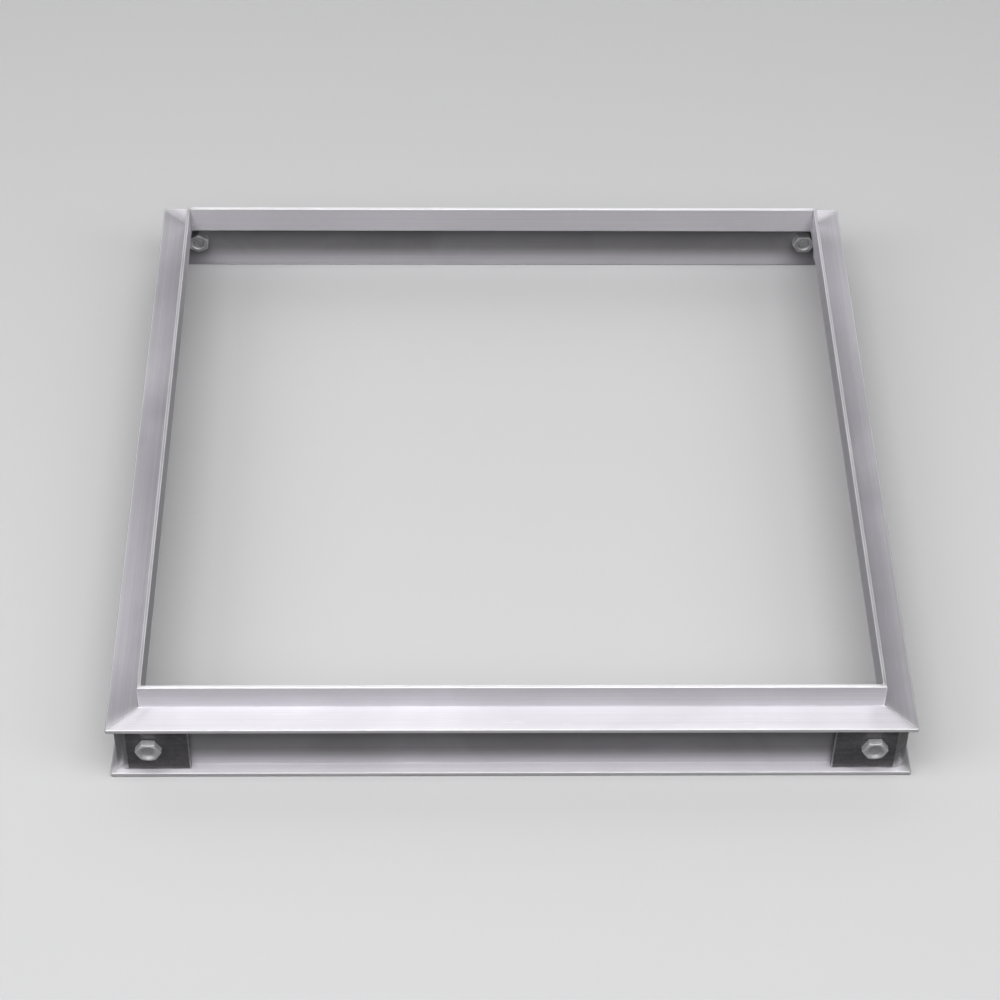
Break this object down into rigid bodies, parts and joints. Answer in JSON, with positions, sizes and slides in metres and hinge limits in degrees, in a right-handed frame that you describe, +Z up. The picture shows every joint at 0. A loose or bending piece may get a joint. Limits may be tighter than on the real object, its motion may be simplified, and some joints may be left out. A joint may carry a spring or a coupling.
{
  "type": "manhole cover frame",
  "caption": "Square open manhole frame: mitred aluminium rails with an upstanding inner lip, joined by bolted steel corner cleats in the outer channel.",
  "frame": {"origin": "centre of the frame on the face it stands on", "axes": "+Z up out of the chamber, +X right, +Y away from the front rail"},
  "size_m": [0.6048, 0.6048, 0.0745],
  "materials": {
    "rail_aluminium": "mill finish with fine extrusion lines",
    "cleat_steel": "dark satin",
    "zinc_fasteners": "bright zinc plate"
  },
  "bodies": {
    "root": {"front_rail": "rail_aluminium", "right_rail": "rail_aluminium", "back_rail": "rail_aluminium", "left_rail": "rail_aluminium", "cleat_front_left": "cleat_steel", "cleat_front_right": "cleat_steel", "cleat_back_right": "cleat_steel", "cleat_back_left": "cleat_steel", "bolt_front_left": "zinc_fasteners", "bolt_front_right": "zinc_fasteners", "bolt_right_front": "zinc_fasteners", "bolt_right_back": "zinc_fasteners", "bolt_back_right": "zinc_fasteners", "bolt_back_left": "zinc_fasteners", "bolt_left_back": "zinc_fasteners", "bolt_left_front": "zinc_fasteners", "nut_front_left": "zinc_fasteners", "nut_front_right": "zinc_fasteners", "nut_right_front": "zinc_fasteners", "nut_right_back": "zinc_fasteners", "nut_back_right": "zinc_fasteners", "nut_back_left": "zinc_fasteners", "nut_left_back": "zinc_fasteners", "nut_left_front": "zinc_fasteners"}
  },
  "joints": []
}
